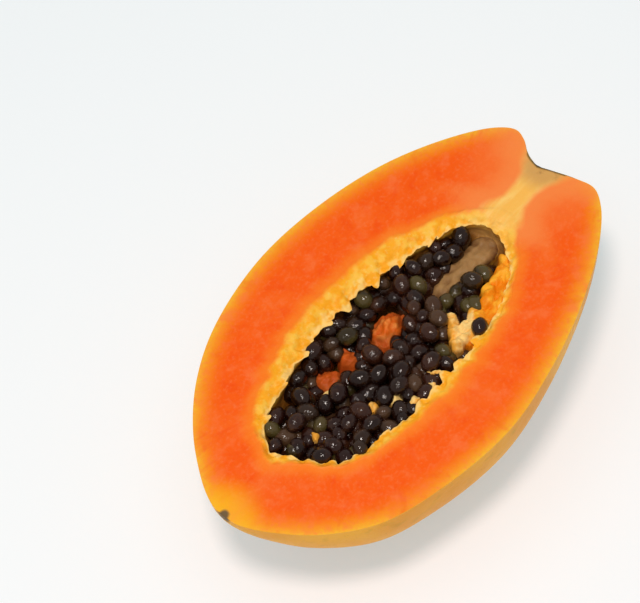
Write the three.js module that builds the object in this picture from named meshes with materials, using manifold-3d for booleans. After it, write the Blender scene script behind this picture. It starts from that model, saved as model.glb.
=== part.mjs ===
// A ripe papaya cut in half lengthwise, lying on its skin with the cut face up.
// Millimetres. X runs from the blossom end to the stem end, Z is up, and the
// origin is under the middle of the half, on the surface it rests on.

import * as THREE from 'three';
import { mergeVertices } from 'three/addons/utils/BufferGeometryUtils.js';
import Module from 'manifold-3d';

const wasm = await Module();
wasm.setup();
const { Manifold } = wasm;

// Skin. Each meridian runs from the blossom end over the widest part and the crest
// of the stem end down into the stem dimple: [distance along, distance from axis].
const farMeridian = [
  [-0.6, 0], [-0.2, 4.5], [2.0, 10.2], [6.8, 17.7], [18.3, 31.0], [34.7, 43.7], [56.1, 53.4], [87.5, 58.8],
  [118.2, 56.3], [148.4, 47.9], [172.6, 35.0], [186.3, 23.7], [190.0, 16.6], [188.0, 11.4], [183.0, 5.6],
  [180.8, 0],
];
const nearMeridian = [
  [-0.6, 0], [-0.4, 4.5], [1.2, 10.0], [5.2, 18.2], [13.4, 30.6], [29.5, 45.0], [51.6, 53.4], [84.2, 58.8],
  [114.6, 55.5], [141.7, 48.6], [164.9, 39.2], [179.0, 30.3], [184.8, 23.0], [184.4, 15.2], [182.4, 6.2],
  [180.8, 0],
];
const skinSteps = 36;
const skinSides = 44;
const sectionFullness = 0.03;
const bellyShift = 9;
const middleAlong = 94.7;
const cutHeight = 58.3;

// Seed cavity. Both outlines are [distance along, sideways]: the flesh ends at the
// pulp rim, and the pulp slopes from there to the torn edge, which hangs over the seeds.
const pulpRim = [
  [24, 1], [29.5, 10.5], [36, 18], [46, 23.6], [60, 27.2], [80, 30.6], [98, 29.8], [112, 27.8], [126, 23.5],
  [140, 16.6], [150, 9.6], [156.5, 3], [157.5, -4], [154.5, -10], [148, -15.5], [140, -21], [128, -27],
  [112, -30.6], [92, -32.2], [70, -30.9], [54, -27.4], [43, -22.8], [36, -16.9], [31, -8],
];
const tornEdge = [
  [29, 4], [33, 10], [39, 14.8], [49, 17.2], [61, 19.8], [73, 22], [86, 22], [101, 20.4], [113, 18],
  [125, 14.8], [137.5, 10.8], [145.5, 6.6], [149, 0.5], [147.4, -8], [138.5, -18.3], [128.5, -23.3],
  [116.5, -26.2], [104, -27.6], [84, -27.5], [66, -26], [50, -22.4], [40, -18.4], [35.5, -11], [32, -2.5],
];
const cavityMiddle = [90, 0];
const cavityDepth = 24;
const cavityRoundness = 2.2;
const lipDepth = 1.9;
const lipSwing = 1.1;
const tuckReach = 3;
const tuckHeight = 12;
const overhang = { base: 0.5, farSide: 0.5, stemEnd: 0.25 };
const rimSides = 54;
const wallSteps = 5;
const openingRise = 8;
const angleSteps = 720;
const samplesPerStep = 20;
const gap = 0.3;

// Soft pulp left in the cavity: [along, sideways, up, half length, half width, half height,
// turn in degrees]. Places are from the blossom end, the axis and the cut face.
const pulpShelf = [128, -22.5, -10, 27, 9.5, 8, 17];
const pulpRidge = [137, -1.6, -10.6, 24, 5.8, 3.4, -4];
const bareMounds = [
  [95, 5, -15.5, 11, 6.5, 10, 12], [66.5, 9.5, -17, 7, 6.5, 9.5, 15], [78, 9.5, -17, 4.5, 6.5, 9.5, -20],
];
const paleLumps = [
  [110, -13.6, -5, 3.8, 2.6, 3.4, 50], [106.6, -17, -5, 3.6, 3, 3.4, 60],
  [103.4, -20.8, -5, 3.6, 2.8, 3.2, 40], [111, -19.6, -5, 3.6, 2.8, 3, 10],
  [107.6, -22.4, -4.4, 3.4, 2.4, 2.8, -20], [116.8, -18.4, -4.6, 3.4, 2.5, 2.8, -10],
  [65, -12.8, -5, 2.6, 2, 2.6, 35], [72.5, -16.4, -6, 4, 2, 3, -15],
  [59.5, 4.5, -6.5, 2.8, 1.8, 2.6, 20], [43, -4.4, -3.6, 2.4, 1.5, 2.2, 40],
  [75, -23.6, -3.6, 3, 1.8, 2.4, 10], [83.5, -24.6, -3, 1.8, 1.4, 2, 40],
  [88.6, -22.8, -3.2, 3.4, 1.2, 2.2, -65],
];
const beadRows = 2;
const beadsPerRow = 9;
const beadRadius = 3.1;
const beadSink = 1.6;
const beadReach = 0.86;
const beadScatter = 0.4;
const beadRowStep = 0.55;
const beadRowStart = -0.15;
const beadSideScatter = 1.2;
const smallestBead = 0.8;
const beadVariety = 0.4;
const beadDrop = 0.35;
const beadStretch = [1.15, 1, 0.9];
const largeSides = 12;
const smallSides = 7;
const toothSides = 6;
const ringsPerSide = 0.7;

// Torn ends of the pulp: [distance along, far side 1 or near side -1, length, width].
const rimTeeth = [
  [38, 1, 2.6, 3], [52, 1, 2, 3], [66, 1, 3.4, 5], [82, 1, 2, 3], [92, 1, 3, 4], [107, 1, 4, 3.4],
  [119, 1, 3, 3], [132, 1, 2, 2.4], [136, 1, 2.4, 2.6], [38, -1, 1.6, 3], [57.5, -1, 2.2, 4.4],
  [74.5, -1, 1.8, 5], [82, -1, 1.2, 4], [88.8, -1, 3.2, 3.6], [95.5, -1, 1.4, 4], [108, -1, 2.4, 5],
];
const toothHeight = 1.5;

// Seeds. They lie in a heap whose top slopes gently away from the near side.
const seedLength = 8.1;
const seedWidth = 6.4;
const seedSides = 6;
const seedSpacing = 6.5;
const seedCloseness = 0.82;
const firstSeedAlong = 22;
const seedColumns = 24;
const seedRowsPerSide = 6;
const seedScatter = 0.85;
const seedLift = 4.4;
const smallestSeed = 0.82;
const seedVariety = 0.34;
const seedTip = 1.2;
const highestSeed = -2.4;
const wallSink = 0.7;
const heapLevel = -5.4;
const heapSlope = -0.085;
const settleRounds = 30;
const pushShare = 0.3;
const sinkShare = 0.2;
const bareMargin = 0.5;
const coreDrop = 0.3;
const loneSeed = { x: 112.5, y: -24.4, z: -1.2, size: 0.95, turn: 25, tip: 0.5 };

// A repeatable run of numbers from 0 to 1.
function seededDraw(start) {
  let state = start;
  return () => {
    state = (1664525 * state + 1013904223) % 4294967296;
    return state / 4294967296;
  };
}

function solidFrom(geometry) {
  geometry.deleteAttribute('normal');
  geometry.deleteAttribute('uv');
  const merged = mergeVertices(geometry, 1e-5);
  return new Manifold(new wasm.Mesh({
    numProp: 3,
    vertProperties: new Float32Array(merged.attributes.position.array),
    triVerts: new Uint32Array(merged.index.array),
  }));
}

// Rings of points with a single point at each end, as one closed solid.
function ringSolid(firstPoint, rings, lastPoint) {
  const points = [firstPoint, ...rings.flat(), lastPoint];
  const sides = rings[0].length;
  const last = points.length - 1;
  const faces = [];
  for (let side = 0; side < sides; side++) {
    const next = (side + 1) % sides;
    faces.push(0, 1 + side, 1 + next);
    for (let ring = 0; ring < rings.length - 1; ring++) {
      const near = 1 + ring * sides;
      const far = near + sides;
      faces.push(near + side, far + side, far + next, near + side, far + next, near + next);
    }
    const end = last - sides;
    faces.push(end + side, last, end + next);
  }
  const geometry = new THREE.BufferGeometry();
  const corners = points.flatMap(point => point.toArray());
  geometry.setAttribute('position', new THREE.Float32BufferAttribute(corners, 3));
  geometry.setIndex(faces);
  return solidFrom(geometry);
}

function boxSolid(low, high) {
  const size = high.clone().sub(low);
  const geometry = new THREE.BoxGeometry(size.x, size.y, size.z);
  geometry.translate(low.x + size.x / 2, low.y + size.y / 2, low.z + size.z / 2);
  return solidFrom(geometry);
}

function ellipsoidSolid([along, sideways, up, halfLength, halfWidth, halfHeight, turn], sides, grow = 0) {
  const geometry = new THREE.SphereGeometry(1, sides, Math.round(ringsPerSide * sides));
  geometry.scale(halfLength + grow, halfWidth + grow, halfHeight + grow);
  geometry.rotateZ(THREE.MathUtils.degToRad(turn));
  geometry.translate(along, sideways, up);
  return solidFrom(geometry);
}

// The whole fruit's skin: its radius eases from the far meridian to the near one,
// and its belly hangs nearer the stem end than its sides, under the fruit's weight.
function skinPoint(farCurve, nearCurve, step, angle) {
  const farPoint = farCurve.getPoint(step);
  const nearPoint = nearCurve.getPoint(step);
  const { x, y } = nearPoint.lerp(farPoint, (1 + Math.cos(angle)) / 2);
  const radius = y * (1 + sectionFullness * Math.sin(2 * angle) ** 2);
  const along = x + bellyShift * Math.sin(angle) ** 2 * Math.sin(Math.PI / 2 * x / middleAlong);
  return new THREE.Vector3(along, radius * Math.cos(angle), radius * Math.sin(angle));
}

function halfFruit() {
  const toCurve = list => new THREE.CatmullRomCurve3(list.map(([x, r]) => new THREE.Vector3(x, r, 0)));
  const farCurve = toCurve(farMeridian);
  const nearCurve = toCurve(nearMeridian);
  const rings = [];
  for (let step = 1; step < skinSteps; step++) {
    const ring = [];
    for (let side = 0; side < skinSides; side++) {
      ring.push(skinPoint(farCurve, nearCurve, step / skinSteps, -2 * Math.PI * side / skinSides));
    }
    rings.push(ring);
  }
  const blossomEnd = skinPoint(farCurve, nearCurve, 0, 0);
  const stemEnd = skinPoint(farCurve, nearCurve, 1, 0);
  const fruit = ringSolid(blossomEnd, rings, stemEnd);
  const reach = 2 * middleAlong;
  const low = new THREE.Vector3(-reach, -reach, -cutHeight);
  const lowerHalf = boxSolid(low, new THREE.Vector3(2 * reach, reach, 0));
  return fruit.intersect(lowerHalf);
}

const middle = new THREE.Vector3(...cavityMiddle, 0);

function closedLoop(points) {
  return new THREE.CatmullRomCurve3(points.map(([x, y]) => new THREE.Vector3(x, y, 0)), true);
}

function angleFromMiddle({ x, y }) {
  return Math.atan2(y - middle.y, x - middle.x);
}

// An outline as its distance from the cavity's middle at any angle.
function distanceAround(points) {
  const loop = closedLoop(points);
  const samples = samplesPerStep * angleSteps;
  const distances = new Array(angleSteps).fill(0);
  const stepAt = angle => (angle / (2 * Math.PI) + 1) % 1 * angleSteps;
  for (let sample = 0; sample < samples; sample++) {
    const place = loop.getPoint(sample / samples);
    distances[Math.floor(stepAt(angleFromMiddle(place)))] = place.distanceTo(middle);
  }
  return angle => {
    const first = Math.floor(stepAt(angle));
    const second = (first + 1) % angleSteps;
    return THREE.MathUtils.lerp(distances[first], distances[second], stepAt(angle) - first);
  };
}

const pulpRimDistance = distanceAround(pulpRim);
const tornEdgeDistance = distanceAround(tornEdge);

function lipDepthAt(angle) {
  return lipDepth + lipSwing * Math.sin(angle);
}

// How far from the middle the wall stands at a depth. It is tucked in under the lip
// on the far side and at the stem end.
function wallDistance(angle, depth) {
  const share = THREE.MathUtils.clamp(depth / cavityDepth, 0, 1);
  const below = THREE.MathUtils.clamp((depth - lipDepthAt(angle)) / tuckHeight, 0, 1);
  const hang = overhang.base + overhang.farSide * Math.sin(angle) + overhang.stemEnd * Math.cos(angle);
  return tornEdgeDistance(angle) * (1 - share ** cavityRoundness) ** (1 / cavityRoundness)
    + tuckReach * THREE.MathUtils.clamp(hang, 0, 1) * Math.sin(Math.PI * below);
}

// The space inside the cavity, made smaller all round by the inset.
function cavitySolid(inset) {
  const loop = closedLoop(tornEdge);
  const places = Array.from({ length: rimSides }, (_, side) => loop.getPointAt(1 - side / rimSides));
  const ringAt = (distanceAt, depthAt) => places.map(angleFromMiddle).map(angle => {
    const out = new THREE.Vector3(Math.cos(angle), Math.sin(angle), 0);
    return out.multiplyScalar(distanceAt(angle) - inset).add(middle).setZ(inset - depthAt(angle));
  });
  const rings = [
    ringAt(pulpRimDistance, () => inset - openingRise),
    ringAt(pulpRimDistance, () => 0),
    ringAt(tornEdgeDistance, lipDepthAt),
  ];
  for (let step = 1; step <= wallSteps; step++) {
    const depthAt = angle => THREE.MathUtils.lerp(
      lipDepthAt(angle), cavityDepth, Math.sin(Math.PI / 2 * step / (wallSteps + 1)));
    rings.push(ringAt(angle => wallDistance(angle, depthAt(angle)), depthAt));
  }
  return ringSolid(middle.clone().setZ(openingRise), rings, middle.clone().setZ(inset - cavityDepth));
}

// Each torn end as a form that stands in from the torn edge, level with its lip.
function toothForm([along, side, length, width]) {
  const loop = closedLoop(tornEdge);
  const places = loop.getPoints(samplesPerStep * tornEdge.length)
    .filter(place => Math.sign(place.y) === side);
  const nearest = (best, place) => (Math.abs(place.x - along) < Math.abs(best.x - along) ? place : best);
  const { x, y } = places.reduce(nearest);
  const up = -toothHeight - lipDepthAt(angleFromMiddle({ x, y }));
  return [x, y, up, width / 2, length, 2 * toothHeight, 0];
}

// Plump grains of pulp in rows along the shelf.
function pulpBeads() {
  const draw = seededDraw(5);
  const [along, sideways, up, halfLength, halfWidth, halfHeight, turn] = pulpShelf;
  const lean = THREE.MathUtils.degToRad(turn);
  const beads = [];
  for (let row = 0; row < beadRows; row++) {
    for (let column = 0; column < beadsPerRow; column++) {
      const share = (column + row / 2 + beadScatter * draw()) / beadsPerRow;
      const reach = halfLength * beadReach * (2 * share - 1);
      const side = halfWidth * (beadRowStep * row + beadRowStart) + beadSideScatter * draw();
      const x = along + reach * Math.cos(lean) - side * Math.sin(lean);
      const y = sideways + reach * Math.sin(lean) + side * Math.cos(lean);
      const size = beadRadius * (smallestBead + beadVariety * draw());
      const drop = halfHeight * beadDrop * (reach / halfLength) ** 2;
      const sizes = beadStretch.map(stretch => size * stretch);
      beads.push([x, y, up + halfHeight - beadSink - drop, ...sizes, turn]);
    }
  }
  return beads;
}

// Everything of pulp that stands in the cavity, grown on all sides by an amount.
function pulpForms(grow) {
  const large = [pulpShelf, pulpRidge, ...bareMounds].map(form => ellipsoidSolid(form, largeSides, grow));
  const small = [...paleLumps, ...pulpBeads()].map(form => ellipsoidSolid(form, smallSides, grow));
  const teeth = rimTeeth.map(tooth => ellipsoidSolid(toothForm(tooth), toothSides, grow));
  return Manifold.union([...large, ...small, ...teeth]);
}

function heapHeight(sideways) {
  return heapLevel + heapSlope * sideways;
}

function coveredBy([along, sideways, , halfLength, halfWidth, , turn], x, y, margin) {
  const lean = THREE.MathUtils.degToRad(turn);
  const dx = x - along;
  const dy = y - sideways;
  const length = (dx * Math.cos(lean) + dy * Math.sin(lean)) / (halfLength + margin);
  const width = (dy * Math.cos(lean) - dx * Math.sin(lean)) / (halfWidth + margin);
  return length * length + width * width < 1;
}

// Seeds that reach the wall are moved in, sunk a little in its soft pulp.
function keepInside(seed) {
  const dx = seed.x - middle.x;
  const dy = seed.y - middle.y;
  const distance = Math.hypot(dx, dy);
  const room = wallDistance(Math.atan2(dy, dx), -seed.z) - seedWidth / 2 + wallSink;
  if (distance > room) {
    seed.x -= dx * (1 - room / distance);
    seed.y -= dy * (1 - room / distance);
  }
}

// Seeds start in staggered rows, each a little off its place, and push apart.
function heapSeeds() {
  const draw = seededDraw(23);
  const seeds = [];
  const rowStep = seedSpacing * Math.sqrt(3) / 2;
  for (let row = -seedRowsPerSide; row <= seedRowsPerSide; row++) {
    for (let column = 0; column < seedColumns; column++) {
      const shift = Math.abs(row) % 2 / 2 + seedScatter * (draw() - 0.5);
      const x = firstSeedAlong + seedSpacing * (column + shift);
      const y = rowStep * (row + seedScatter * (draw() - 0.5));
      const lift = seedLift * (draw() - 0.5);
      const size = smallestSeed + seedVariety * draw();
      const seed = { x, y, lift, size, turn: 360 * draw(), tip: draw() };
      seed.z = heapHeight(y) + lift;
      const room = wallDistance(angleFromMiddle(seed), -seed.z) + wallSink;
      const inside = Math.hypot(x - middle.x, y - middle.y) < room;
      const bare = coveredBy(pulpShelf, x, y, 0)
        || [pulpRidge, ...bareMounds, ...paleLumps].some(form => coveredBy(form, x, y, bareMargin));
      if (inside && !bare) seeds.push(seed);
    }
  }
  for (let round = 0; round < settleRounds; round++) {
    for (let first = 0; first < seeds.length; first++) {
      for (let second = first + 1; second < seeds.length; second++) {
        pushApart(seeds[first], seeds[second]);
      }
    }
    for (const seed of seeds) {
      seed.z += sinkShare * (heapHeight(seed.y) + seed.lift - seed.z);
      seed.z = Math.min(seed.z, highestSeed);
      keepInside(seed);
    }
  }
  return seeds;
}

function pushApart(one, other) {
  const dx = other.x - one.x;
  const dy = other.y - one.y;
  const dz = other.z - one.z;
  const distance = Math.hypot(dx, dy, dz);
  const wanted = seedCloseness * (seedLength + seedWidth) / 2 * (one.size + other.size) / 2;
  if (distance >= wanted || distance === 0) return;
  const move = pushShare * (wanted - distance) / distance;
  one.x -= dx * move;
  one.y -= dy * move;
  one.z -= dz * move;
  other.x += dx * move;
  other.y += dy * move;
  other.z += dz * move;
}

function seedSolid({ x, y, z, size, turn, tip }) {
  const geometry = new THREE.SphereGeometry(size / 2, seedSides, seedSides - 1);
  geometry.scale(seedLength, seedWidth, seedWidth);
  geometry.rotateY(seedTip * (tip - 0.5));
  geometry.rotateZ(THREE.MathUtils.degToRad(turn));
  geometry.translate(x, y, z);
  return solidFrom(geometry);
}

// The lower seeds, packed too close to tell apart, fill the cavity under the top ones.
function seedCore() {
  const reach = 2 * middleAlong;
  const top = heapLevel - coreDrop;
  const core = new THREE.BoxGeometry(2 * reach, reach, 2 * cavityDepth);
  core.translate(0, 0, -cavityDepth);
  core.rotateX(Math.atan(heapSlope));
  core.translate(cavityMiddle[0], 0, top);
  return solidFrom(core);
}

// The biggest shell of a solid: loose scraps are dropped and sealed pockets filled.
function outerShell(solid) {
  const { vertProperties, triVerts } = solid.getMesh();
  const leader = Array.from({ length: vertProperties.length / 3 }, (_, vertex) => vertex);
  const leaderOf = vertex => {
    while (leader[vertex] !== vertex) {
      leader[vertex] = leader[leader[vertex]];
      vertex = leader[vertex];
    }
    return vertex;
  };
  for (let corner = 0; corner < triVerts.length; corner += 3) {
    leader[leaderOf(triVerts[corner + 1])] = leaderOf(triVerts[corner]);
    leader[leaderOf(triVerts[corner + 2])] = leaderOf(triVerts[corner]);
  }
  const sizes = new Map();
  for (const vertex of triVerts) sizes.set(leaderOf(vertex), (sizes.get(leaderOf(vertex)) ?? 0) + 1);
  const biggest = [...sizes].reduce((best, entry) => (entry[1] > best[1] ? entry : best))[0];
  const kept = [...triVerts].filter((_, corner) => leaderOf(triVerts[corner - corner % 3]) === biggest);
  const geometry = new THREE.BufferGeometry();
  geometry.setAttribute('position', new THREE.Float32BufferAttribute(vertProperties, 3));
  geometry.setIndex(kept);
  return geometry;
}

function toMesh(name, solid, material) {
  const mesh = new THREE.Mesh(outerShell(solid), material);
  mesh.name = name;
  return mesh;
}

const fleshMaterial = new THREE.MeshStandardMaterial({ color: 0xf2672a, roughness: 0.45, metalness: 0 });
const seedMaterial = new THREE.MeshStandardMaterial({ color: 0x1c1512, roughness: 0.15, metalness: 0 });

const wholeHalf = halfFruit();
const papayaHalf = wholeHalf.subtract(cavitySolid(0)).add(pulpForms(0).intersect(wholeHalf));
const topSeeds = heapSeeds().map(seedSolid);
const straySeed = seedSolid(loneSeed).intersect(cavitySolid(gap)).subtract(pulpForms(gap));
const strayRoom = seedSolid({ ...loneSeed, size: loneSeed.size + 2 * gap / seedWidth });
const seedHeap = Manifold.union([seedCore(), ...topSeeds]).intersect(cavitySolid(gap))
  .subtract(pulpForms(gap).add(strayRoom));

const papaya = new THREE.Group();
papaya.position.set(-middleAlong, 0, cutHeight);
papaya.add(toMesh('papaya_half', papayaHalf, fleshMaterial));
papaya.add(toMesh('seeds', seedHeap, seedMaterial));
papaya.add(toMesh('lone_seed', straySeed, seedMaterial));

export default papaya;
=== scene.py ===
import math

import bpy
import numpy as np
from mathutils import Matrix, Vector, noise


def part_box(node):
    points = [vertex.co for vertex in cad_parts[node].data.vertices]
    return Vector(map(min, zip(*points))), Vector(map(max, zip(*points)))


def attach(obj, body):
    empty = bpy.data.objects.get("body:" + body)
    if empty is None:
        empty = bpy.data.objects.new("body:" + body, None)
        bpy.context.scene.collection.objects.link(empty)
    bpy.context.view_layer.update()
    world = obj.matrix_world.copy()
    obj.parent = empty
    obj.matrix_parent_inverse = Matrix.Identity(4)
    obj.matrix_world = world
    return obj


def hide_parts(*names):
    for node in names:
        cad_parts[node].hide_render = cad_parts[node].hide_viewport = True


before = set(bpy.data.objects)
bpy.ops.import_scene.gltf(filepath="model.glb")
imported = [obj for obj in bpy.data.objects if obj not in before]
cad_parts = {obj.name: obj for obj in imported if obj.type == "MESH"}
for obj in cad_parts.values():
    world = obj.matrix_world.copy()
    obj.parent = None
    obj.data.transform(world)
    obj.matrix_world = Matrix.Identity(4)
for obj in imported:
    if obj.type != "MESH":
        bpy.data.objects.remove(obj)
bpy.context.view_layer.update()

scene = bpy.context.scene
mm = 0.001

# The fruit's own measures, in millimetres: along it from the blossom end, out from its long axis, and
# up from the cut face. The frame gives where the cut face is.
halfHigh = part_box("papaya_half")[1]
fruit = {
    "cutHeight": halfHigh[2] / mm,
    "middleAlong": 94.7,
    "bellyShift": 9,
    "sectionFullness": 0.03,
    "farMeridian": [(-0.6, 0), (-0.2, 4.5), (2.0, 10.2), (6.8, 17.7), (18.3, 31.0), (34.7, 43.7),
                    (56.1, 53.4), (87.5, 58.8), (118.2, 56.3), (148.4, 47.9), (172.6, 35.0),
                    (186.3, 23.7), (190.0, 16.6), (188.0, 11.4), (183.0, 5.6), (180.8, 0)],
    "nearMeridian": [(-0.6, 0), (-0.4, 4.5), (1.2, 10.0), (5.2, 18.2), (13.4, 30.6), (29.5, 45.0),
                     (51.6, 53.4), (84.2, 58.8), (114.6, 55.5), (141.7, 48.6), (164.9, 39.2),
                     (179.0, 30.3), (184.8, 23.0), (184.4, 15.2), (182.4, 6.2), (180.8, 0)],
    "spanSteps": 14,
    "segments": 512,           # columns round the middle
    "rings": 190,              # rows from the bottom to the middle of the cavity
    "skinRings": 52,
    "faceRings": 26,
    "slopeRings": 28,          # pulp between the flesh and the torn edge
    "outlineSteps": 721,
    "edgeWidth": 0.4,          # the sharp outer edge of the cut face
    "faceWave": 0.12,          # how far the cut face dips between its waves
    "faceWaves": (14, 2),      # how long the waves are and where their noise starts
    "skinWave": 0.35,
    "skinWaves": (26, 4),
    "skinWaveFade": 6,         # below the cut face
    "blossomTip": (0, 0.8, -0.5),
    "scarMiddle": (182.5, -2.2, -1.5),
    # The pale core towards the stem: along, half width.
    "core": [(150, 9), (158, 7), (163, 4.6), (170, 4.4), (175, 5.6), (179, 8), (184, 9.5)],
    "coreSideways": -2.4,
    "coreFade": (154, 14),     # below this place along the fruit the core fades, over this length
    "streakRound": 6.3,        # about two pi, so that a streak is as wide as on the torn edge
    "streakStretch": 0.2,
}

cavity = {
    "pulpRim": [(24, 1), (29.5, 10.5), (36, 18), (46, 23.6), (60, 27.2), (80, 30.6), (98, 29.8),
                (112, 27.8), (126, 23.5), (140, 16.6), (150, 9.6), (156.5, 3), (157.5, -4),
                (154.5, -10), (148, -15.5), (140, -21), (128, -27), (112, -30.6), (92, -32.2),
                (70, -30.9), (54, -27.4), (43, -22.8), (36, -16.9), (31, -8)],
    "tornEdge": [(29, 4), (33, 10), (39, 14.8), (49, 17.2), (61, 19.8), (73, 22), (86, 22), (101, 20.4),
                 (113, 18), (125, 14.8), (137.5, 10.8), (145.5, 6.6), (149, 0.5), (147.4, -8),
                 (138.5, -18.3), (128.5, -23.3), (116.5, -26.2), (104, -27.6), (84, -27.5), (66, -26),
                 (50, -22.4), (40, -18.4), (35.5, -11), (32, -2.5)],
    "spanSteps": 24,
    "middle": (90, 0),
    "depth": 24,
    "roundness": 2.2,
    "rowCrowding": 1.25,       # rows of points lie closer near the lip
    "slopeBow": 1.4,
    "lipDepth": 1.9,
    "lipSwing": 1.1,           # how much deeper the lip lies on the far side than halfway round
    "tuckReach": 3,
    "tuckHeight": 12,
    "tuckShares": (0.5, 0.5, 0.25),  # all round, more on the far side, more at the stem end
    # Teeth: along, side, length, width.
    "teeth": [(38, 1, 2.6, 3), (52, 1, 2, 3), (66, 1, 3.4, 5), (82, 1, 2, 3), (92, 1, 3, 4),
              (107, 1, 4, 3.4), (119, 1, 3, 3), (132, 1, 2, 2.4), (136, 1, 2.4, 2.6), (38, -1, 1.6, 3),
              (57.5, -1, 2.2, 4.4), (74.5, -1, 1.8, 5), (82, -1, 1.2, 4), (88.8, -1, 3.2, 3.6),
              (95.5, -1, 1.4, 4), (108, -1, 2.4, 5)],
    "toothHeight": 1.5,
    "toothSpread": 0.62,
    "toothPoint": 0.75,
    "rag": 1.3,                # how far the torn edge wanders between its teeth
}

# Soft pulp that stands in the cavity: along, sideways, up, half length, half width, half height, and
# turn in degrees.
pulp = {
    "shelf": (128, -22.5, -10, 27, 9.5, 8, 17),
    "ridge": (137, -1.6, -10.6, 24, 5.8, 3.4, -4),
    "mounds": [(95, 5, -15.5, 11, 6.5, 10, 12), (66.5, 9.5, -17, 7, 6.5, 9.5, 15),
               (78, 9.5, -17, 4.5, 6.5, 9.5, -20)],
    "lumps": [(110, -13.6, -5, 3.8, 2.6, 3.4, 50), (106.6, -17, -5, 3.6, 3, 3.4, 60),
              (103.4, -20.8, -5, 3.6, 2.8, 3.2, 40), (111, -19.6, -5, 3.6, 2.8, 3, 10),
              (107.6, -22.4, -4.4, 3.4, 2.4, 2.8, -20), (116.8, -18.4, -4.6, 3.4, 2.5, 2.8, -10),
              (65, -12.8, -5, 2.6, 2, 2.6, 35), (72.5, -16.4, -6, 4, 2, 3, -15),
              (59.5, 4.5, -6.5, 2.8, 1.8, 2.6, 20), (43, -4.4, -3.6, 2.4, 1.5, 2.2, 40),
              (75, -23.6, -3.6, 3, 1.8, 2.4, 10), (83.5, -24.6, -3, 1.8, 1.4, 2, 40),
              (88.6, -22.8, -3.2, 3.4, 1.2, 2.2, -65)],
    "beadRows": 2,
    "beadsPerRow": 9,
    "beadRadius": 3.1,
    "beadSink": 1.6,
    "beadReach": 0.86,
    "beadScatter": 0.4,
    "beadRowStep": 0.55,
    "beadRowStart": -0.15,
    "beadSideScatter": 1.2,
    "smallestBead": 0.8,
    "beadVariety": 0.4,
    "beadDrop": 0.35,
    "beadStretch": (1.15, 1, 0.9),
    "beadStart": 5,
    "warp": 1.3,               # how far the forms' outlines wander
    "warpWaves": (3.2, 41, 43),
    "highest": -0.2,
}

# Small relief of the pulp. Waves are given by their length, where their noise starts, and their height.
relief = {
    "rimWaves": [(9, 3, 1.8), (4, 8, 1.1)],
    "lobes": [(4.6, 29, 0.9), (2, 27, 0.8)],
    "lobeShares": (0.75, 0.25),            # all round, more on the far side
    "slopeWaves": [(3.4, 5, 1.3), (1.5, 7, 0.5)],
    "slopeSink": 0.3,
    "slopeOnset": 1.5,
    "lipWaves": (2.6, 15, 1.2),
    "lipSink": 0.1,
    "lipFade": 1.5,
    "lipCurve": 4,
    "lumpGrains": (2.3, 0.9),              # size, height
    "lumpWaves": (1.8, 11, 0.7),
    "shelfGrains": (2.4, 0.6),
    "flattening": [(1, 1, 0.4), (1, 1, 0.5), (1, 1, 0.3)],  # of noise at the lip, the lumps, the shelf
    "topSoftness": 0.3,
}

seeds = {
    "length": 8.1,
    "width": 6.4,
    "spacing": 6.5,
    "closeness": 0.82,
    "firstAlong": 22,
    "columns": 24,
    "rowsPerSide": 6,
    "scatter": 0.85,
    "lift": 4.4,
    "smallest": 0.82,
    "variety": 0.34,
    "tip": 1.2,
    "highest": -2.4,
    "wallSink": 0.7,
    "heapLevel": -5.4,
    "heapSlope": -0.085,
    "settleRounds": 30,
    "pushShare": 0.3,
    "sinkShare": 0.2,
    "bareMargin": 0.5,
    "segments": 16,
    "rings": 10,
    "taper": 0.12,
    "dent": 0.06,
    "dentSize": 2.2,
    "topStart": 23,
    "underLayers": [(41, 3.2), (59, 6.4)],  # where the draw starts, how far down
    "toneStart": 3,
}

loneSeed = {"x": 112.5, "y": -24.4, "z": -1.2, "size": 0.95, "turn": 25, "tip": 0.5, "toneStart": 9}


def deselectAll():
    if bpy.context.object and bpy.context.object.mode != "OBJECT":
        bpy.ops.object.mode_set(mode="OBJECT")
    bpy.ops.object.select_all(action="DESELECT")


def seededDraw(start):
    state = start
    while True:
        state = (1664525 * state + 1013904223) % 4294967296
        yield state / 4294967296


def splineThrough(points, closed, steps):  # centripetal, as the fruit's outline is drawn
    p = np.array(points, float)
    if closed:
        p = np.vstack([p[-1], p, p[0], p[1]])
    else:
        p = np.vstack([2 * p[0] - p[1], p, 2 * p[-1] - p[-2]])
    t = np.linspace(0, 1, steps, endpoint=False)[:, None]
    spans = []
    for a, b, c, d in zip(p, p[1:], p[2:], p[3:]):
        ab, bc, cd = (np.sqrt(np.linalg.norm(v)) for v in (b - a, c - b, d - c))
        leave = ((b - a) / ab - (c - a) / (ab + bc) + (c - b) / bc) * bc
        arrive = ((c - b) / bc - (d - b) / (bc + cd) + (d - c) / cd) * bc
        spans.append(b + leave * t + (3 * (c - b) - 2 * leave - arrive) * t ** 2
                     + (2 * (b - c) + leave + arrive) * t ** 3)
    if not closed:
        spans.append(p[-2:-1])
    return np.vstack(spans)


middle = np.array(cavity["middle"], float)
chunk = 4096                   # points reckoned at once, to spare memory


class Around:  # a closed outline as its distance from the cavity's middle at any angle
    def __init__(self, points):
        loop = splineThrough(points, True, cavity["spanSteps"]) - middle
        angles = np.arctan2(loop[:, 1], loop[:, 0])
        order = np.argsort(angles)
        self.loop = loop[order]
        self.angles = angles[order]
        self.distances = np.hypot(self.loop[:, 0], self.loop[:, 1])

    def distance(self, angle):
        return np.interp(angle, self.angles, self.distances, period=2 * math.pi)

    def evenAngles(self, count):  # angles that fall at even steps along the outline
        around = np.vstack([self.loop, self.loop[:1]])
        along = np.concatenate([[0], np.cumsum(np.hypot(*np.diff(around, axis=0).T))])
        angles = np.append(self.angles, self.angles[0] + 2 * math.pi)
        return np.interp(np.arange(count) / count * along[-1], along, angles), along[-1]


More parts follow.
